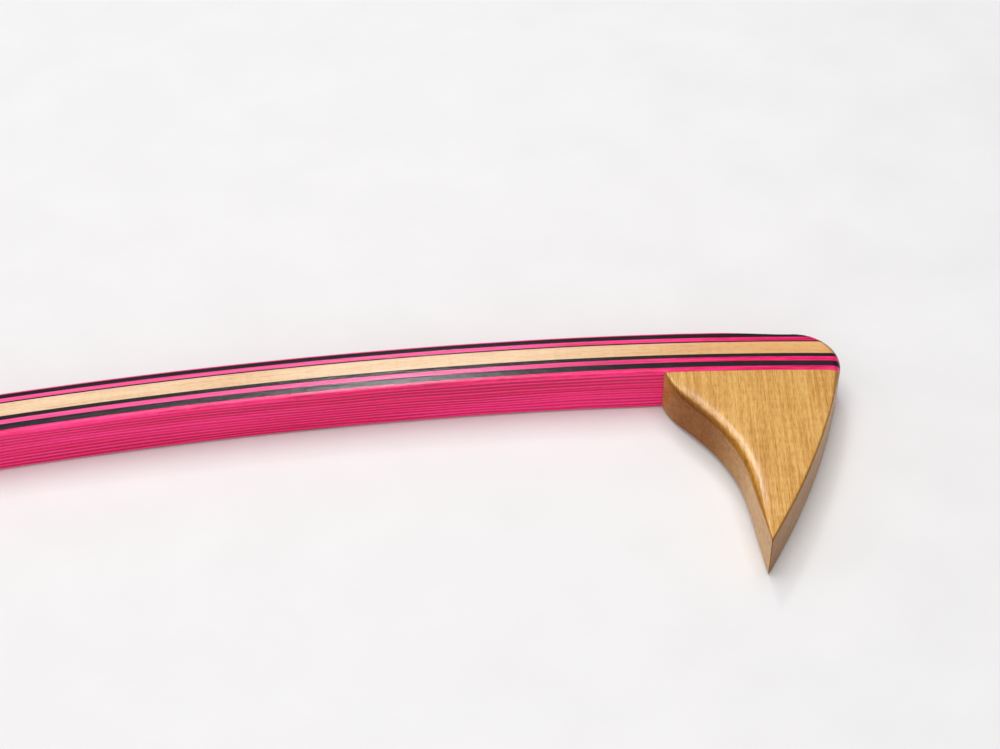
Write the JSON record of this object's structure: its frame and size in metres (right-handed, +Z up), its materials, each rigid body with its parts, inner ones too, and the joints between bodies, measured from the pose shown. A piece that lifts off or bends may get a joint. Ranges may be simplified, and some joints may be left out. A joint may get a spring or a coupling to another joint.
{
  "type": "boomerang",
  "caption": "Long laminated wooden boomerang with a gently curved, square-section bar in pink, black and maple strips and a solid maple beak at one end.",
  "frame": {"origin": "middle of the footprint, on the surface that the boomerang lies on", "axes": "+X along the bar's chord towards the beak end, +Y out of the convex edge, +Z up out of the upper flat"},
  "size_m": [0.6892, 0.1516, 0.021],
  "materials": {
    "pink_dyed_wood": "satin lacquer over dyed hardwood veneer",
    "black_dyed_wood": "satin lacquer over dyed hardwood veneer",
    "pale_maple": "satin lacquer",
    "honey_maple": "satin lacquer",
    "dowel_beech": "bare"
  },
  "bodies": {
    "root": {"outer_pink_face": "pink_dyed_wood", "outer_black_lamination": "black_dyed_wood", "outer_pink_lamination": "pink_dyed_wood", "outer_black_veneer": "black_dyed_wood", "maple_core": "pale_maple", "inner_black_veneer": "black_dyed_wood", "inner_pink_lamination": "pink_dyed_wood", "inner_black_lamination": "black_dyed_wood", "inner_pink_face": "pink_dyed_wood", "maple_beak": "honey_maple", "beak_dowel_heel_side": "dowel_beech", "beak_dowel_throat_side": "dowel_beech"}
  },
  "joints": []
}
